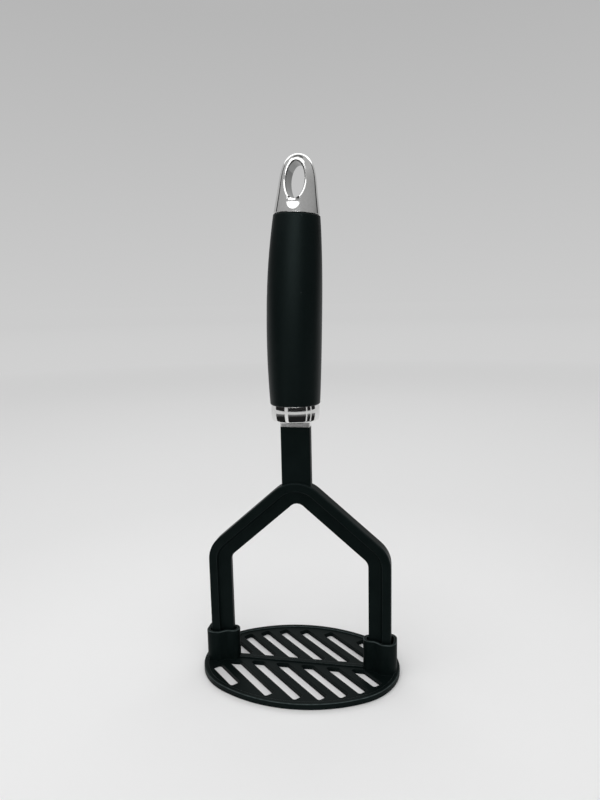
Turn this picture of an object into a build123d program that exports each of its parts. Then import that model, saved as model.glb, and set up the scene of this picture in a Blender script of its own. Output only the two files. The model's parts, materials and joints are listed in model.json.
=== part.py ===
from build123d import *
import os
from math import acos, atan2, cos, degrees, radians, sin, sqrt, tan

# Potato masher, in millimetres. X runs along the yoke, -Y is the front, +Z runs up the handle.
# The origin is the middle of the plate's flat underside, so the masher stands on its plate.

# Mashing plate: a web with a raised rim and a low rib along its middle, in an oval of four arcs
plate_half_x = 53.6
plate_half_y = 38.6
plate_end_radius = 33.0
web_thickness = 2.4
rim_height = 3.2
rim_width = 2.6
rim_round = 0.6
underside_round = 0.5
rib_width = 2.4
rib_height = 0.7

# Slots lie at 45 degrees, on the lines x + y = step * slot_pitch
slot_pitch = 13.78
slot_width = 5.7
slot_corner = 1.3
slot_margin = 4.2
front_steps = range(-3, 3)
middle_bar_half = 3.2
socket_bar_half = 4.4
end_slot_step = -4
end_slot_from = -36.2
end_slot_to = -4.0

# Upright sockets for the legs: deep round the flange, narrow round the web, with a snap hole in each floor
socket_inner_x = 34.2
socket_step_from = 40.4
socket_step_to = 44.4
socket_outer_x = 52.1
socket_web_y = 7.4
socket_flange_y = 13.2
socket_inner_corner = 3.2
socket_step_round = 3.0
socket_outer_corner = 4.5
socket_top = 19.4
socket_wall = 1.8
socket_lip_round = 0.7
socket_clear = 0.6
snap_hole_x = 7.0
snap_hole_y = 3.4
snap_ledge = 1.0
snap_pocket_x = 9.2
snap_pocket_y = 3.8

# Yoke: a band bent like the gable of a house, with a deep outer flange and a thin inner web
yoke_half_x = 49.05
yoke_shoulder = 67.3
roof_slope = radians(41.1)
band_width = 11.85
flange_width = 4.65
flange_depth = 8.0
band_depth = 3.0
shoulder_radius = 16.0
apex_radius = 17.5
inner_shoulder_radius = 5.5
inner_apex_radius = 4.8
flange_round = 0.7
flange_cove = 1.7
edge_reach = 0.5

# Snap feet under the legs
foot_gap = 0.3
foot_block_top = 11.0
prong_inner = 1.0
prong_outer = 3.2
hook_outer = 4.0
hook_top = 1.2
prong_bottom = 0.4
prong_depth = 2.8

# Shank and tang above the yoke
shank_x = 15.45
shank_y = 5.9
shank_round = 1.0
shank_foot = 100.5
shank_top = 134.0
tang_x = 10.0
tang_y = 3.6
tang_top = 198.0
tang_gap = 0.2
tang_round = 0.5

# Handle centreline: straight, then bowed gently towards +X, then straight again
bow_start = 155.0
bow_radius = 1250.0
bow_length = 70.0

# Ferrule under the grip, slightly barrel-shaped, with a neck that is flush with the shank
ferrule_bottom = 137.3
ferrule_floor = 139.3
ferrule_full = 142.6
ferrule_bottom_radius = 11.9
ferrule_full_radius = 12.5
ferrule_top_radius = 12.25
ferrule_round = 1.3
neck_round = 0.9

# Soft grip
grip_bottom = 145.8
grip_top = 239.5
grip_full = 190.0
grip_full_radius = 14.0
grip_bottom_radius = 12.8
grip_top_radius = 11.6
grip_power = 2.2
grip_sections = 8
grip_bottom_round = 0.7
grip_top_round = 0.6

# Stiff core inside the grip, and the two cross pins through the tang
core_radius = 9.6
core_gap = 0.2
pin_heights = (160.0, 185.0)
pin_radius = 1.5
pin_length = 18.0
pin_gap = 0.1
pin_chamfer = 0.3

# End cap, measured along the handle from the top of the grip
cap_base_radius = 11.4
cap_middle_radius = 9.65
cap_middle = 12.6
cap_side_radius = 6.2
cap_side = 25.6
cap_tip = 28.8
cap_base_edge = 0.4
hole_x = 9.0
hole_z = 17.6
hole_middle = 15.5
hole_round = 0.8
dish_radius = 7.0
dish_middle = 6.57
dish_out = 16.27
spigot_radius = 6.0
spigot_length = 11.0
bead_radius = 6.5
bead_from = -8.0
bead_to = -6.6
spigot_gap = 0.3

tip_rise = cap_tip - cap_side
tip_radius = (tip_rise**2 + cap_side_radius**2) / (2 * tip_rise)
tip_degrees = degrees(acos(1 - tip_rise / tip_radius))
tip_centre = cap_tip - tip_radius
plate_end_middle = plate_half_x - plate_end_radius
plate_bulge = plate_half_y - plate_end_radius
plate_side_middle = (plate_end_middle**2 - plate_bulge**2) / (2 * plate_bulge)
plate_side_radius = plate_half_y + plate_side_middle
plate_end_degrees = degrees(atan2(plate_side_middle, plate_end_middle))
leg_x = (socket_inner_x + socket_outer_x) / 2
socket_spots = [(-leg_x, 0), (leg_x, 0)]
slot_half_sum = slot_width / sqrt(2)
margin_x = plate_half_x - slot_margin
margin_y = plate_half_y - slot_margin


def slot_reach(line_sum):
    """Largest x - y that the line x + y = line_sum has inside the ellipse that the slots keep to."""
    even = 1 / margin_x**2 + 1 / margin_y**2
    odd = line_sum * (1 / margin_x**2 - 1 / margin_y**2)
    return (sqrt(odd**2 - even * (line_sum**2 * even - 4)) - odd) / even


def slot_point(line_sum, line_difference):
    """The point whose x + y and x - y are given."""
    return ((line_sum + line_difference) / 2, (line_sum - line_difference) / 2)


def gable(inset):
    """Corners of the yoke's outer outline, moved inwards, from the left foot to the right foot."""
    side = yoke_half_x - inset
    drop = inset / cos(roof_slope)
    shoulder = yoke_shoulder + inset * tan(roof_slope) - drop
    apex = yoke_shoulder + yoke_half_x * tan(roof_slope) - drop
    return [
        (-side, foot_block_top),
        (-side, shoulder),
        (0, apex),
        (side, shoulder),
        (side, foot_block_top),
    ]


def handle_plane(length):
    """Plane square to the handle's centreline at a length along it from the underside."""
    bend = min(max(length - bow_start, 0), bow_length) / bow_radius
    run = max(length - bow_start - bow_length, 0)
    x = bow_radius * (1 - cos(bend)) + run * sin(bend)
    z = min(length, bow_start) + bow_radius * sin(bend) + run * cos(bend)
    return Plane(origin=(x, 0, z), x_dir=(cos(bend), 0, -sin(bend)), z_dir=(sin(bend), 0, cos(bend)))


def grip_radius(length):
    """The grip is fullest at grip_full and thins towards both ends."""
    end, radius = (grip_bottom, grip_bottom_radius) if length < grip_full else (grip_top, grip_top_radius)
    part = abs((length - grip_full) / (end - grip_full))
    return grip_full_radius - (grip_full_radius - radius) * part**grip_power


# Plan of both sockets
with BuildSketch() as socket_plan:
    Polygon(
        (socket_inner_x, -socket_web_y / 2),
        (socket_step_from, -socket_web_y / 2),
        (socket_step_to, -socket_flange_y / 2),
        (socket_outer_x, -socket_flange_y / 2),
        (socket_outer_x, socket_flange_y / 2),
        (socket_step_to, socket_flange_y / 2),
        (socket_step_from, socket_web_y / 2),
        (socket_inner_x, socket_web_y / 2),
        align=None,
    )
    fillet(socket_plan.vertices().group_by(Axis.X)[-1], socket_outer_corner)
    fillet(socket_plan.vertices().group_by(Axis.X)[2], socket_step_round)
    fillet(socket_plan.vertices().group_by(Axis.X)[1], socket_step_round)
    fillet(socket_plan.vertices().group_by(Axis.X)[0], socket_inner_corner)
    mirror(about=Plane.YZ)

socket_room = offset(socket_plan.sketch, amount=socket_clear)
socket_hollow = offset(socket_plan.sketch, amount=-socket_wall)
leg_foot = offset(socket_plan.sketch, amount=-socket_wall - foot_gap)

# Plate with rim, rib, sockets and slots
with BuildPart() as mashing_plate:
    with BuildSketch() as plate_oval:
        with BuildLine():
            for turn in (0, 180):
                way = cos(radians(turn))
                CenterArc(
                    (way * plate_end_middle, 0),
                    plate_end_radius,
                    turn - plate_end_degrees,
                    2 * plate_end_degrees,
                )
                CenterArc(
                    (0, -way * plate_side_middle),
                    plate_side_radius,
                    turn + plate_end_degrees,
                    180 - 2 * plate_end_degrees,
                )
        make_face()
    extrude(amount=rim_height)
    with BuildSketch(Plane.XY.offset(web_thickness)):
        add(plate_oval.sketch)
        offset(amount=-rim_width)
    extrude(amount=rim_height - web_thickness, mode=Mode.SUBTRACT)
    fillet(mashing_plate.edges().group_by(Axis.Z)[-1], rim_round)
    fillet(mashing_plate.edges().group_by(Axis.Z)[0], underside_round)

    with BuildSketch() as slots:
        for step in front_steps:
            left_sum = step * slot_pitch - slot_half_sum
            right_sum = step * slot_pitch + slot_half_sum
            slot_end = min(slot_reach(left_sum), slot_reach(right_sum))
            bar = socket_bar_half if step == front_steps[0] else middle_bar_half
            Polygon(
                (left_sum + bar, -bar),
                (right_sum + bar, -bar),
                slot_point(right_sum, slot_end),
                slot_point(left_sum, slot_end),
                align=None,
            )
        left_sum = end_slot_step * slot_pitch - slot_half_sum
        right_sum = end_slot_step * slot_pitch + slot_half_sum
        Polygon(
            slot_point(left_sum, end_slot_from),
            slot_point(right_sum, end_slot_from),
            slot_point(right_sum, end_slot_to),
            slot_point(left_sum, end_slot_to),
            align=None,
        )
        fillet(slots.vertices(), slot_corner)
        add(socket_room, mode=Mode.SUBTRACT)
        add(slots.sketch.rotate(Axis.Z, 180))
    extrude(amount=web_thickness, mode=Mode.SUBTRACT)

    with BuildSketch(Plane.XY.offset(web_thickness)):
        Rectangle(2 * (socket_inner_x + socket_wall), rib_width)
    extrude(amount=rib_height)
    with BuildSketch(Plane.XY.offset(web_thickness)):
        add(socket_plan.sketch)
    extrude(amount=socket_top - web_thickness)
    with BuildSketch(Plane.XY.offset(web_thickness)):
        add(socket_hollow)
    extrude(amount=socket_top - web_thickness, mode=Mode.SUBTRACT)
    fillet(mashing_plate.edges().group_by(Axis.Z)[-1], socket_lip_round)
    with BuildSketch():
        with Locations(socket_spots):
            Rectangle(snap_hole_x, snap_hole_y)
    extrude(amount=web_thickness, mode=Mode.SUBTRACT)
    with BuildSketch():
        with Locations(socket_spots):
            Rectangle(snap_pocket_x, snap_pocket_y)
    extrude(amount=web_thickness - snap_ledge, mode=Mode.SUBTRACT)

# Yoke with legs, arms, snap feet, shank and tang
with BuildPart() as yoke:
    for inset, depth, shoulder_inside, apex_inside in (
        (band_width, band_depth, inner_shoulder_radius, inner_apex_radius),
        (flange_width, flange_depth, shoulder_radius - flange_width, apex_radius - flange_width),
    ):
        outside = gable(0)
        inside = gable(inset)
        with BuildSketch(Plane.XZ):
            with BuildLine():
                FilletPolyline(*outside, radius=[shoulder_radius, apex_radius, shoulder_radius])
                FilletPolyline(*inside, radius=[shoulder_inside, apex_inside, shoulder_inside])
                Line(outside[0], inside[0])
                Line(outside[-1], inside[-1])
            make_face()
        extrude(amount=depth / 2, both=True)
    cove_edges = (
        yoke.edges(Select.LAST)
        .filter_by(lambda edge: abs(abs(edge.center().Y) - band_depth / 2) < edge_reach)
        .filter_by(lambda edge: edge.center().Z > foot_block_top + edge_reach)
    )
    fillet(cove_edges, flange_cove)
    flange_faces = yoke.faces().filter_by(Axis.Y).group_by(Axis.Y)
    flange_edges = flange_faces[0].edges() + flange_faces[-1].edges()
    fillet(
        flange_edges.filter_by(lambda edge: edge.center().Z > foot_block_top + edge_reach),
        flange_round,
    )

    with BuildSketch(Plane.XY.offset(shank_foot)):
        RectangleRounded(shank_x, shank_y, shank_round)
    extrude(amount=shank_top - shank_foot)
    with BuildSketch(Plane.XY.offset(shank_top)):
        RectangleRounded(tang_x, tang_y, tang_round)
    extrude(amount=tang_top - shank_top)
    chamfer(yoke.faces().sort_by(Axis.Z)[-1].edges(), tang_round)
    with BuildSketch(Plane.XZ):
        with Locations([(0, height) for height in pin_heights]):
            Circle(pin_radius + pin_gap)
    extrude(amount=tang_y, both=True, mode=Mode.SUBTRACT)

    with BuildSketch(Plane.XY.offset(web_thickness)):
        add(leg_foot)
    extrude(amount=foot_block_top - web_thickness)
    with BuildSketch(Plane.XZ):
        for middle in (-leg_x, leg_x):
            for side in (-1, 1):
                Polygon(
                    (middle + side * prong_inner, web_thickness),
                    (middle + side * prong_outer, web_thickness),
                    (middle + side * prong_outer, hook_top),
                    (middle + side * hook_outer, hook_top),
                    (middle + side * prong_outer, prong_bottom),
                    (middle + side * prong_inner, prong_bottom),
                    align=None,
                )
    extrude(amount=prong_depth / 2, both=True)

# Chrome ferrule: a cup round the foot of the core, with the neck below it
with BuildPart() as ferrule:
    with BuildSketch(Plane.XZ):
        with BuildLine():
            ThreePointArc(
                (ferrule_bottom_radius, ferrule_bottom),
                (ferrule_full_radius, ferrule_full),
                (ferrule_top_radius, grip_bottom),
            )
            Polyline(
                (ferrule_top_radius, grip_bottom),
                (0, grip_bottom),
                (0, ferrule_bottom),
                (ferrule_bottom_radius, ferrule_bottom),
            )
        make_face()
    revolve(axis=Axis.Z)
    fillet(ferrule.faces().sort_by(Axis.Z)[0].edges(), ferrule_round)
    with BuildSketch(Plane.XY.offset(ferrule_floor)):
        Circle(core_radius + core_gap)
    extrude(amount=grip_bottom - ferrule_floor, mode=Mode.SUBTRACT)
    with BuildSketch(Plane.XY.offset(shank_top)):
        RectangleRounded(shank_x, shank_y, neck_round)
    extrude(amount=ferrule_bottom - shank_top)
    with BuildSketch(Plane.XY.offset(shank_top)):
        RectangleRounded(tang_x + 2 * tang_gap, tang_y + 2 * tang_gap, tang_round)
    extrude(amount=ferrule_floor - shank_top, mode=Mode.SUBTRACT)

# Centreline of the handle, from the floor of the ferrule to past the top of the grip
with BuildLine() as handle_line:
    Line(handle_plane(ferrule_floor).origin, handle_plane(bow_start).origin)
    ThreePointArc(
        handle_plane(bow_start).origin,
        handle_plane(bow_start + bow_length / 2).origin,
        handle_plane(bow_start + bow_length).origin,
    )
    Line(handle_plane(bow_start + bow_length).origin, handle_plane(grip_top).origin)

cap_plane = handle_plane(grip_top)
cap_axis = Axis(cap_plane.origin, cap_plane.z_dir)
cap_front = Plane(origin=cap_plane.origin, x_dir=cap_plane.x_dir, z_dir=(0, -1, 0))

# Stiff core: a rod along the bowed centreline with a pocket for the tang and a bore for the cap
with BuildPart() as handle_core:
    with BuildSketch(Plane.XY.offset(ferrule_floor)):
        Circle(core_radius)
    sweep(path=handle_line.line)
    with BuildSketch(Plane.XY.offset(ferrule_floor)):
        RectangleRounded(tang_x + 2 * tang_gap, tang_y + 2 * tang_gap, tang_round)
    extrude(amount=tang_top + tang_gap - ferrule_floor, mode=Mode.SUBTRACT)
    with BuildSketch(Plane.XZ):
        with Locations([(0, height) for height in pin_heights]):
            Circle(pin_radius + pin_gap)
    extrude(amount=2 * core_radius, both=True, mode=Mode.SUBTRACT)
    with BuildSketch(cap_front):
        Polygon(
            (0, 0),
            (spigot_radius + spigot_gap, 0),
            (spigot_radius + spigot_gap, bead_to + spigot_gap),
            (bead_radius + spigot_gap, bead_to + spigot_gap),
            (bead_radius + spigot_gap, bead_from - spigot_gap),
            (spigot_radius + spigot_gap, bead_from - spigot_gap),
            (spigot_radius + spigot_gap, -spigot_length - spigot_gap),
            (0, -spigot_length - spigot_gap),
            align=None,
        )
    revolve(axis=cap_axis, mode=Mode.SUBTRACT)

# Two steel cross pins through core and tang
with BuildPart() as tang_pins:
    with BuildSketch(Plane.XZ):
        with Locations([(0, height) for height in pin_heights]):
            Circle(pin_radius)
    extrude(amount=pin_length / 2, both=True)
    chamfer(tang_pins.faces().filter_by(Axis.Y).edges(), pin_chamfer)

# Soft sleeve over the core
with BuildPart() as soft_grip:
    for index in range(grip_sections + 1):
        section_length = grip_bottom + (grip_top - grip_bottom) * index / grip_sections
        with BuildSketch(handle_plane(section_length)):
            Circle(grip_radius(section_length))
    loft()
    fillet(soft_grip.faces().sort_by(Axis.Z)[0].edges(), grip_bottom_round)
    fillet(soft_grip.faces().sort_by(Axis.Z)[-1].edges(), grip_top_round)
    with BuildSketch(Plane.XY.offset(ferrule_floor)):
        Circle(core_radius + core_gap)
    sweep(path=handle_line.line, mode=Mode.SUBTRACT)

# Chrome end cap: a bullet with the hanging hole, a small dish under the hole on both sides, and a snap spigot
with BuildPart() as end_cap:
    with BuildSketch(cap_front):
        with BuildLine():
            Polyline((0, 0), (cap_base_radius - cap_base_edge, 0), (cap_base_radius, cap_base_edge))
            Spline(
                (cap_base_radius, cap_base_edge),
                (cap_middle_radius, cap_middle),
                (cap_side_radius, cap_side),
                tangents=[
                    (cap_middle_radius - cap_base_radius, cap_middle - cap_base_edge),
                    (tip_centre - cap_side, cap_side_radius),
                ],
            )
            CenterArc((0, tip_centre), tip_radius, 90 - tip_degrees, tip_degrees)
            Line((0, cap_tip), (0, 0))
        make_face()
    revolve(axis=cap_axis)
    with BuildSketch(cap_front.offset(-cap_base_radius)):
        with Locations((0, hole_middle)):
            Ellipse(hole_x / 2, hole_z / 2)
    extrude(amount=2 * cap_base_radius, mode=Mode.SUBTRACT)
    fillet(end_cap.edges(Select.LAST).filter_by(GeomType.LINE, reverse=True), hole_round)
    with Locations([cap_plane.from_local_coords((0, side * dish_out, dish_middle)) for side in (-1, 1)]):
        Sphere(dish_radius, mode=Mode.SUBTRACT)
    with BuildSketch(cap_front):
        Polygon(
            (0, 0),
            (spigot_radius, 0),
            (spigot_radius, bead_to),
            (bead_radius, bead_to),
            (bead_radius, bead_from),
            (spigot_radius, bead_from),
            (spigot_radius, -spigot_length),
            (0, -spigot_length),
            align=None,
        )
    revolve(axis=cap_axis)

os.makedirs("parts", exist_ok=True)
pieces = {
    "mashing_plate": mashing_plate,
    "yoke": yoke,
    "ferrule": ferrule,
    "handle_core": handle_core,
    "tang_pins": tang_pins,
    "soft_grip": soft_grip,
    "end_cap": end_cap,
}
for name, piece in pieces.items():
    piece.part.label = name
    export_step(piece.part, f"parts/{name}.step")
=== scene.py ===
import json
import math

import bpy
from mathutils import Matrix, Vector

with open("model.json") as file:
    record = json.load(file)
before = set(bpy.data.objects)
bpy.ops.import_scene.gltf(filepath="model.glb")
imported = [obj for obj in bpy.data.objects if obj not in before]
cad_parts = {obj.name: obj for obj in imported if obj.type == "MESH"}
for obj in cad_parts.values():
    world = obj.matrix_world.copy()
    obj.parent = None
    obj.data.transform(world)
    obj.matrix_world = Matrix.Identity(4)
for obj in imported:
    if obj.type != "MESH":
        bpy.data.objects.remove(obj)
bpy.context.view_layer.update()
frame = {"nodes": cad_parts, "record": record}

scene = bpy.context.scene
scene.view_settings.view_transform = "Standard"

# Camera of the photograph: its place in metres, its three directions, lens and sensor in millimetres
CAMERA_PLACE = (0.06272, -0.3172, 0.19821)
CAMERA_RIGHT = (0.98282, 0.18340, -0.02054)
CAMERA_UP = (-0.00845, 0.15594, 0.98773)
CAMERA_BACK = (0.18435, -0.97059, 0.15481)
CAMERA_LENS = 28.669
CAMERA_SENSOR = 36.0
CAMERA_NEAREST = 0.01

camera_data = bpy.data.cameras.new("camera")
camera_data.lens = CAMERA_LENS
camera_data.sensor_width = CAMERA_SENSOR
camera_data.clip_start = CAMERA_NEAREST
camera = bpy.data.objects.new("camera", camera_data)
turn = Matrix((CAMERA_RIGHT, CAMERA_UP, CAMERA_BACK)).transposed().to_4x4()
camera.matrix_world = Matrix.Translation(CAMERA_PLACE) @ turn
scene.collection.objects.link(camera)
scene.camera = camera

# Colours of the surfaces, and the darkest and lightest where they vary
BLACK_GLOSS = (0.76, 1.0, 0.98)
NYLON_COLOURS = ((0.0025, 0.0046, 0.0045), (0.0035, 0.0061, 0.0059))
# Painted highlights: lighter colours laid on the proud edges of the plate and the yoke
PLATE_EDGE_HIGHLIGHT = (0.060, 0.075, 0.075)
YOKE_EDGE_HIGHLIGHT = (0.011, 0.016, 0.016)
RUBBER_COLOURS = ((0.0016, 0.0036, 0.0036), (0.0024, 0.0046, 0.0046))
LINT_COLOUR = (0.05, 0.055, 0.055)
CHROME_COLOURS = ((0.80, 0.80, 0.79), (0.86, 0.86, 0.855))
HOLE_PAINTED_SHADE = (0.18, 0.185, 0.18)
CORE_COLOURS = ((0.030, 0.031, 0.031), (0.050, 0.050, 0.050))
STEEL_COLOURS = ((0.42, 0.42, 0.42), (0.58, 0.58, 0.57))

# Heights above the underside, or depths from the middle, past which edges get a painted highlight, in
# metres
PLATE_PROUD = (0.0025, 0.0028)
YOKE_PROUD = (0.0030, 0.0033)

# An edge counts as slanted between these values of its slant, which is 0.25 at 45 degrees
SLANT_FROM = 0.06
SLANT_FULL = 0.22
BEVEL_SAMPLES = 6

# Cells to a metre, some of which hold a speck of lint
LINT_SCALE = 170.0

# Wall of the hanging hole, where shade is painted: its middle and half size in metres, endless along Y, and
# its lean in radians
HOLE_MIDDLE = next(m["pos_m"] for m in frame["record"]["mounts"] if m["name"] == "hanging_hole")
HOLE_LEAN = 0.056
HOLE_REACH = (0.0045, 1000.0, 0.0088)


class Shader:
    """A node material under construction, with short calls for the nodes that the surfaces share."""

    def __init__(self, name):
        self.material = bpy.data.materials.new(name)
        self.material.use_nodes = True
        self.tree = self.material.node_tree
        self.surface = self.tree.nodes["Principled BSDF"]
        self.place = self.add("ShaderNodeTexCoord").outputs["Object"]

    def add(self, kind, **settings):
        node = self.tree.nodes.new(kind)
        for key, value in settings.items():
            setattr(node, key, value)
        return node

    def link(self, source, target):
        self.tree.links.new(source, target)

    def stretched(self, scale):
        """The place on the object, scaled along each axis."""
        mapping = self.add("ShaderNodeMapping")
        mapping.inputs["Scale"].default_value = scale
        self.link(self.place, mapping.inputs["Vector"])
        return mapping.outputs["Vector"]

    def noise(self, scale, detail=2.0, roughness=0.5, place=None):
        node = self.add("ShaderNodeTexNoise")
        node.inputs["Scale"].default_value = scale
        node.inputs["Detail"].default_value = detail
        node.inputs["Roughness"].default_value = roughness
        self.link(place or self.place, node.inputs["Vector"])
        return node.outputs["Fac"]

    def spread(self, source, low, high, from_low=0.3, from_high=0.7):
        """Maps a range of the source, by default the one that most noise keeps to, to low and high."""
        node = self.add("ShaderNodeMapRange")
        node.inputs["From Min"].default_value = from_low
        node.inputs["From Max"].default_value = from_high
        node.inputs["To Min"].default_value = low
        node.inputs["To Max"].default_value = high
        self.link(source, node.inputs["Value"])
        return node.outputs["Result"]

    def times(self, first, second):
        node = self.add("ShaderNodeMath", operation="MULTIPLY")
        self.link(first, node.inputs[0])
        self.link(second, node.inputs[1])
        return node.outputs["Value"]

    def blend(self, factor, first, second):
        node = self.add("ShaderNodeMix", data_type="RGBA")
        self.link(factor, node.inputs["Factor"])
        for socket, colour in ((node.inputs["A"], first), (node.inputs["B"], second)):
            if isinstance(colour, tuple):
                socket.default_value = (*colour, 1.0)
            else:
                self.link(colour, socket)
        return node.outputs["Result"]

    def rounded(self, radius):
        """The normal as if sharp edges were rounded."""
        bevel = self.add("ShaderNodeBevel", samples=BEVEL_SAMPLES)
        bevel.inputs["Radius"].default_value = radius
        return bevel.outputs["Normal"]

    def edges(self, normal, axis, proud):
        """One where the surface is slanted to an axis and lies past the proud distances along it."""
        turned = self.add("ShaderNodeSeparateXYZ")
        self.link(normal, turned.inputs["Vector"])
        square = self.times(turned.outputs[axis], turned.outputs[axis])
        slant = self.times(square, self.spread(square, 1.0, 0.0, from_low=0.0, from_high=1.0))
        where = self.add("ShaderNodeSeparateXYZ")
        self.link(self.place, where.inputs["Vector"])
        away = self.add("ShaderNodeMath", operation="ABSOLUTE")
        self.link(where.outputs[axis], away.inputs[0])
        past = self.spread(away.outputs["Value"], 0.0, 1.0, *proud)
        return self.times(self.spread(slant, 0.0, 1.0, SLANT_FROM, SLANT_FULL), past)

    def bump(self, height, strength, distance, normal=None):
        node = self.add("ShaderNodeBump")
        node.inputs["Strength"].default_value = strength
        node.inputs["Distance"].default_value = distance
        self.link(height, node.inputs["Height"])
        if normal is not None:
            self.link(normal, node.inputs["Normal"])
        return node.outputs["Normal"]

    def set(self, **values):
        """Sets or links the surface's inputs, named with underscores for spaces."""
        for name, value in values.items():
            socket = self.surface.inputs[name.replace("_", " ")]
            if isinstance(value, bpy.types.NodeSocket):
                self.link(value, socket)
            elif isinstance(value, tuple):
                socket.default_value = (*value, 1.0)
            else:
                socket.default_value = value


def nylon(name, highlight_colour, axis, proud):
    """Black moulded nylon: satin, faint flow marks, fine grain, and a painted highlight that makes proud
    edges a little lighter in patches.
    """
    s = Shader(name)
    flow = s.noise(scale=26.0, detail=3.0, roughness=0.55, place=s.stretched((1.0, 1.0, 0.35)))
    cloud = s.noise(scale=140.0, detail=3.0)
    grain = s.noise(scale=2600.0)
    rounded = s.rounded(radius=0.0004)
    patches = s.spread(s.noise(scale=420.0, detail=3.0), low=0.4, high=1.0)
    # Painted highlight: proud, slanted edges get a lighter base colour, in patches
    painted_highlight = s.times(s.edges(rounded, axis, proud), patches)
    colour = s.blend(s.spread(cloud, low=0.0, high=1.0), *NYLON_COLOURS)
    fine = s.bump(grain, strength=0.22, distance=0.00006, normal=rounded)
    s.set(
        Base_Color=s.blend(painted_highlight, colour, highlight_colour),
        Roughness=s.spread(flow, low=0.36, high=0.50),
        IOR=1.5,
        Specular_IOR_Level=0.055,
        Specular_Tint=BLACK_GLOSS,
        Normal=s.bump(cloud, strength=0.10, distance=0.0002, normal=fine),
    )
    return s.material


def rubber(name):
    """Soft black sleeve: matt, finely stippled, with faint handling marks and a few specks of lint."""
    s = Shader(name)
    marks = s.noise(scale=45.0, detail=4.0, roughness=0.6, place=s.stretched((1.0, 1.0, 0.5)))
    cloud = s.noise(scale=160.0)
    stipple = s.noise(scale=3000.0)
    lint = s.add("ShaderNodeTexVoronoi")
    lint.inputs["Scale"].default_value = LINT_SCALE
    s.link(s.place, lint.inputs["Vector"])
    speck = s.times(
        s.spread(lint.outputs["Distance"], low=1.0, high=0.0, from_low=0.02, from_high=0.07),
        s.spread(s.noise(scale=60.0, detail=1.0), low=0.0, high=0.5, from_low=0.55, from_high=0.62),
    )
    colour = s.blend(s.spread(marks, low=0.0, high=1.0), *RUBBER_COLOURS)
    fine = s.bump(stipple, strength=0.30, distance=0.00005)
    s.set(
        Base_Color=s.blend(speck, colour, LINT_COLOUR),
        Roughness=s.spread(marks, low=0.36, high=0.44),
        IOR=1.48,
        Specular_IOR_Level=0.14,
        Specular_Tint=BLACK_GLOSS,
        Normal=s.bump(cloud, strength=0.12, distance=0.0002, normal=fine),
    )
    return s.material


def chrome(name):
    """Bright plating with faint wipe marks and slight waves, and painted shade on the wall of the hanging
    hole.
    """
    s = Shader(name)
    wipes = s.noise(scale=120.0, detail=4.0, roughness=0.6, place=s.stretched((1.0, 1.0, 0.25)))
    haze = s.noise(scale=700.0, detail=3.0)
    wave = s.noise(scale=230.0, detail=1.0)
    colour = s.blend(s.spread(haze, low=0.0, high=1.0), *CHROME_COLOURS)
    # Painted shade: the wall of the hanging hole gets a darker base colour
    hole = s.add("ShaderNodeMapping", vector_type="TEXTURE")
    hole.inputs["Location"].default_value = HOLE_MIDDLE
    hole.inputs["Rotation"].default_value = (0.0, HOLE_LEAN, 0.0)
    hole.inputs["Scale"].default_value = HOLE_REACH
    s.link(s.place, hole.inputs["Vector"])
    reach = s.add("ShaderNodeVectorMath", operation="LENGTH")
    s.link(hole.outputs["Vector"], reach.inputs[0])
    hole_shade = s.spread(reach.outputs["Value"], low=1.0, high=0.0, from_low=1.005, from_high=1.03)
    s.set(
        Base_Color=s.blend(hole_shade, colour, HOLE_PAINTED_SHADE),
        Metallic=1.0,
        Roughness=s.spread(wipes, low=0.04, high=0.10),
        Normal=s.bump(wave, strength=0.02, distance=0.0002, normal=s.rounded(radius=0.0003)),
    )
    return s.material


def hidden_plastic(name):
    """Plain moulded core, seen only where a joint shows a sliver of it."""
    s = Shader(name)
    cloud = s.noise(scale=200.0)
    s.set(
        Base_Color=s.blend(cloud, *CORE_COLOURS),
        Roughness=s.spread(cloud, low=0.45, high=0.60),
        Normal=s.bump(s.noise(scale=1500.0), strength=0.2, distance=0.00005),
    )
    return s.material


def drawn_steel(name):
    """Steel wire with fine drawing marks along Y, the way that the pins lie."""
    s = Shader(name)
    drawn = s.noise(scale=1400.0, place=s.stretched((1.0, 0.04, 1.0)))
    s.set(
        Base_Color=s.blend(drawn, *STEEL_COLOURS),
        Metallic=1.0,
        Roughness=s.spread(drawn, low=0.25, high=0.42),
        Normal=s.bump(drawn, strength=0.15, distance=0.00004),
    )
    return s.material


# One finish for each node
bright_plate = chrome("bright_plate")
finishes = {
    "mashing_plate": nylon("plate_nylon", PLATE_EDGE_HIGHLIGHT, "Z", PLATE_PROUD),
    "yoke": nylon("yoke_nylon", YOKE_EDGE_HIGHLIGHT, "Y", YOKE_PROUD),
    "ferrule": bright_plate,
    "handle_core": hidden_plastic("core_plastic"),
    "tang_pins": drawn_steel("pin_steel"),
    "soft_grip": rubber("grip_rubber"),
    "end_cap": bright_plate,
}
for node, finish in finishes.items():
    piece = frame["nodes"][node]
    piece.data.materials.clear()
    piece.data.materials.append(finish)

# Stage: sizes in metres, and pairs of position and grey tone, where position 1 is the far distance
FLOOR_HALF = 30.0
FLOOR_DROP = 0.0001
FLOOR_FAR = 6.0
# Floor tones are painted shade: lighter near the object and darker with distance from it
FLOOR_TONES = ((0.025, 0.86), (0.05, 0.80), (0.12, 0.745), (0.205, 0.69), (0.30, 0.635), (1.00, 0.605))
FLOOR_GLOW = ((0.012, 0.00), (0.30, 1.00))
CARD_FAR = 1.2
CARD_TONES = ((0.375, 0.012), (0.600, 0.22), (0.660, 0.012), (0.715, 0.02), (0.770, 0.33), (0.900, 0.48))

# Tones of the room by the height of the viewing direction, from 0 at the horizon to 1 straight up
WORLD_TONES = ((0.00, 0.60), (0.38, 0.47))


def tone_ramp(tree, tones):
    """A grey scale through the given pairs of position and tone."""
    ramp = tree.nodes.new("ShaderNodeValToRGB")
    stops = ramp.color_ramp.elements
    while len(stops) < len(tones):
        stops.new(0.5)
    for stop, (position, tone) in zip(stops, tones):
        stop.position = position
        stop.color = (tone, tone, tone, 1.0)
    return ramp


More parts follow.
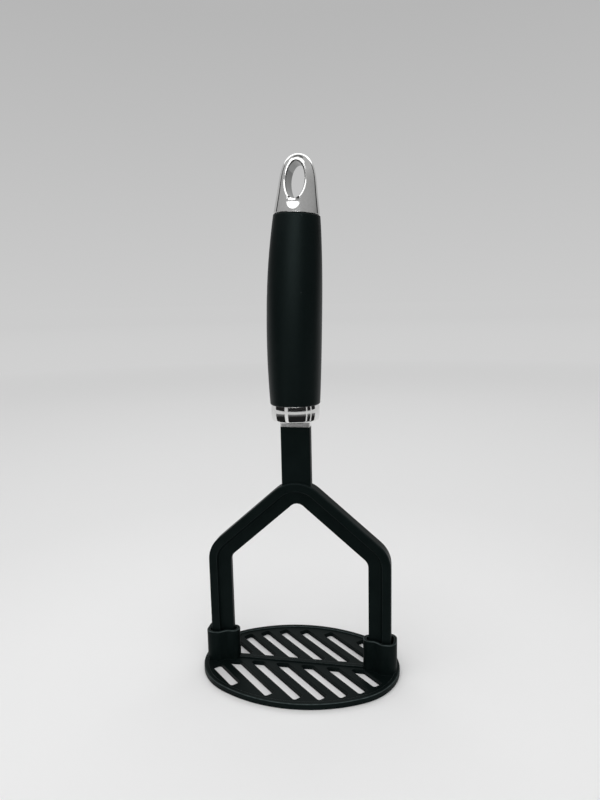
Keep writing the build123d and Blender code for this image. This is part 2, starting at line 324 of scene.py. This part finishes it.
def fade_by_distance(tree, far, tones):
    """A grey scale that follows the distance from the middle of the stage."""
    place = tree.nodes.new("ShaderNodeTexCoord")
    reach = tree.nodes.new("ShaderNodeVectorMath")
    reach.operation = "LENGTH"
    fade = tree.nodes.new("ShaderNodeMapRange")
    fade.inputs["From Max"].default_value = far
    ramp = tone_ramp(tree, tones)
    tree.links.new(place.outputs["Object"], reach.inputs[0])
    tree.links.new(reach.outputs["Value"], fade.inputs["Value"])
    tree.links.new(fade.outputs["Result"], ramp.inputs["Fac"])
    return ramp.outputs["Color"]


def combine(tree, operation, first, second):
    node = tree.nodes.new("ShaderNodeMath")
    node.operation = operation
    tree.links.new(first, node.inputs[0])
    tree.links.new(second, node.inputs[1])
    return node.outputs["Value"]


def stage_material(name):
    """A material with nothing but its output node."""
    material = bpy.data.materials.new(name)
    material.use_nodes = True
    material.node_tree.nodes.clear()
    output = material.node_tree.nodes.new("ShaderNodeOutputMaterial")
    return material, material.node_tree, output.inputs["Surface"]


def stage_piece(name, points, faces, material):
    mesh = bpy.data.meshes.new(name)
    mesh.from_pydata(points, [], faces)
    mesh.materials.append(material)
    thing = bpy.data.objects.new(name, mesh)
    scene.collection.objects.link(thing)
    return thing


def pale_paper(name):
    """Lit and shadowed near the object, with its tone painted darker with distance as shade where light
    falls off. Far off, views and reflections see an even tone of its own.
    """
    material, tree, surface = stage_material(name)
    mix = tree.nodes.new("ShaderNodeMixShader")
    diffuse = tree.nodes.new("ShaderNodeBsdfDiffuse")
    glow = tree.nodes.new("ShaderNodeEmission")
    rays = tree.nodes.new("ShaderNodeLightPath")
    tone = fade_by_distance(tree, FLOOR_FAR, FLOOR_TONES)
    tree.links.new(tone, diffuse.inputs["Color"])
    tree.links.new(tone, glow.inputs["Color"])
    seen = rays.outputs["Is Camera Ray"]
    for ray in ("Is Glossy Ray", "Is Transmission Ray"):
        seen = combine(tree, "MAXIMUM", seen, rays.outputs[ray])
    share = combine(tree, "MULTIPLY", seen, fade_by_distance(tree, FLOOR_FAR, FLOOR_GLOW))
    tree.links.new(share, mix.inputs["Fac"])
    tree.links.new(diffuse.outputs["BSDF"], mix.inputs[1])
    tree.links.new(glow.outputs["Emission"], mix.inputs[2])
    tree.links.new(mix.outputs["Shader"], surface)
    return material


def painted_reflection_glow(name):
    """Dark to grey glow for painted reflections, with tones by the distance from the middle of the stage,
    in any light.
    """
    material, tree, surface = stage_material(name)
    glow = tree.nodes.new("ShaderNodeEmission")
    tree.links.new(fade_by_distance(tree, CARD_FAR, CARD_TONES), glow.inputs["Color"])
    tree.links.new(glow.outputs["Emission"], surface)
    return material


# One wide pale floor, painted a little darker far off as shade where the light falls off
corner_signs = ((-1, -1), (1, -1), (1, 1), (-1, 1))
corners = [(x * FLOOR_HALF, y * FLOOR_HALF, -FLOOR_DROP) for x, y in corner_signs]
stage_piece("studio_floor", corners, [(0, 1, 2, 3)], pale_paper("pale_paper"))

# World: a pale room that gets a little darker upwards
world = bpy.data.worlds.new("studio")
scene.world = world
world.use_nodes = True
world_tree = world.node_tree
direction = world_tree.nodes.new("ShaderNodeTexCoord")
split = world_tree.nodes.new("ShaderNodeSeparateXYZ")
room = tone_ramp(world_tree, WORLD_TONES)
world_tree.links.new(direction.outputs["Generated"], split.inputs["Vector"])
world_tree.links.new(split.outputs["Z"], room.inputs["Fac"])
world_tree.links.new(room.outputs["Color"], world_tree.nodes["Background"].inputs["Color"])

# Cards round the stage that glow as painted reflections and only reflections see, in metres and in degrees
# from the front towards +X
CARD_STEP = 3.0
LYING_INNER = 0.12
LYING_OUTER = 0.72
LYING_HEIGHT = 0.001
LOW_SPANS = ((-94, -41), (-25, 62), (68, 86), (92, 116))
RING_RADIUS = 0.80
STANDING_BOTTOM = 0.08
UPPER_BOTTOM = 0.26
UPPER_SPANS = ((-122, -30), (36, 146))
TOP_BOTTOM = 0.52
TOP_HEIGHT = 0.70
TOP_SPAN = (-122, 146)
REAR_RADIUS = 0.95
REAR_SPAN = (146, 238)
ROOF_INNER = 0.05
ROOF_OUTER = 0.15
ROOF_HEIGHT = 0.60
ROOF_SPAN = (90, 270)
POST_RADIUS = 0.30
POST_HEIGHT = 0.45
POST_SPANS = ((-118, -109), (131, 140))

# Painted reflections: the cards glow dark to grey, and only reflections see them
panel_glow = painted_reflection_glow("painted_reflection_glow")


def dark_card(name, low, high, span):
    """A ring segment between two pairs of radius and height, over a span of degrees."""
    first, last = span
    steps = round((last - first) / CARD_STEP)
    points = []
    for step in range(steps + 1):
        angle = math.radians(first + (last - first) * step / steps)
        for radius, height in (low, high):
            points.append((radius * math.sin(angle), -radius * math.cos(angle), height))
    quads = [(2 * i, 2 * i + 1, 2 * i + 3, 2 * i + 2) for i in range(steps)]
    card = stage_piece(name, points, quads, panel_glow)
    card.visible_camera = False
    card.visible_diffuse = False
    card.visible_transmission = False
    card.visible_shadow = False


for number, span in enumerate(LOW_SPANS):
    dark_card(f"card_lying_{number}", (LYING_INNER, LYING_HEIGHT), (LYING_OUTER, LYING_HEIGHT), span)
    dark_card(f"card_standing_{number}", (RING_RADIUS, STANDING_BOTTOM), (RING_RADIUS, UPPER_BOTTOM), span)
for number, span in enumerate(UPPER_SPANS):
    dark_card(f"card_upper_{number}", (RING_RADIUS, UPPER_BOTTOM), (RING_RADIUS, TOP_BOTTOM), span)
dark_card("card_top", (RING_RADIUS, TOP_BOTTOM), (RING_RADIUS, TOP_HEIGHT), TOP_SPAN)
dark_card("card_rear", (REAR_RADIUS, UPPER_BOTTOM), (REAR_RADIUS, TOP_HEIGHT), REAR_SPAN)
dark_card("card_roof", (ROOF_INNER, ROOF_HEIGHT), (ROOF_OUTER, ROOF_HEIGHT), ROOF_SPAN)
for number, span in enumerate(POST_SPANS):
    dark_card(f"card_post_{number}", (POST_RADIUS, UPPER_BOTTOM), (POST_RADIUS, POST_HEIGHT), span)


def lamp(name, place, target, size, power, spread=180.0):
    """A soft rectangular lamp, with its size in metres, its power in watts and its spread in degrees."""
    data = bpy.data.lights.new(name, "AREA")
    data.shape = "RECTANGLE"
    data.size, data.size_y = size
    data.energy = power
    data.spread = math.radians(spread)
    thing = bpy.data.objects.new(name, data)
    thing.location = place
    thing.rotation_euler = (Vector(target) - Vector(place)).to_track_quat("-Z", "Y").to_euler()
    scene.collection.objects.link(thing)


# Lamps: a wide scrim above the front, one above the back, and a weak narrow one for the sheen of the grip
MIDDLE = (0.0, 0.0, 0.13)
GRIP_MIDDLE = (0.0, 0.0, 0.20)
lamp("scrim", place=(-0.10, -0.55, 1.15), target=MIDDLE, size=(1.9, 1.2), power=7.6)
lamp("back", place=(-0.10, 0.95, 1.00), target=MIDDLE, size=(1.6, 0.7), power=4.4)
lamp("front", place=(0.05, -0.90, 0.44), target=GRIP_MIDDLE, size=(0.9, 0.24), power=0.48, spread=80.0)
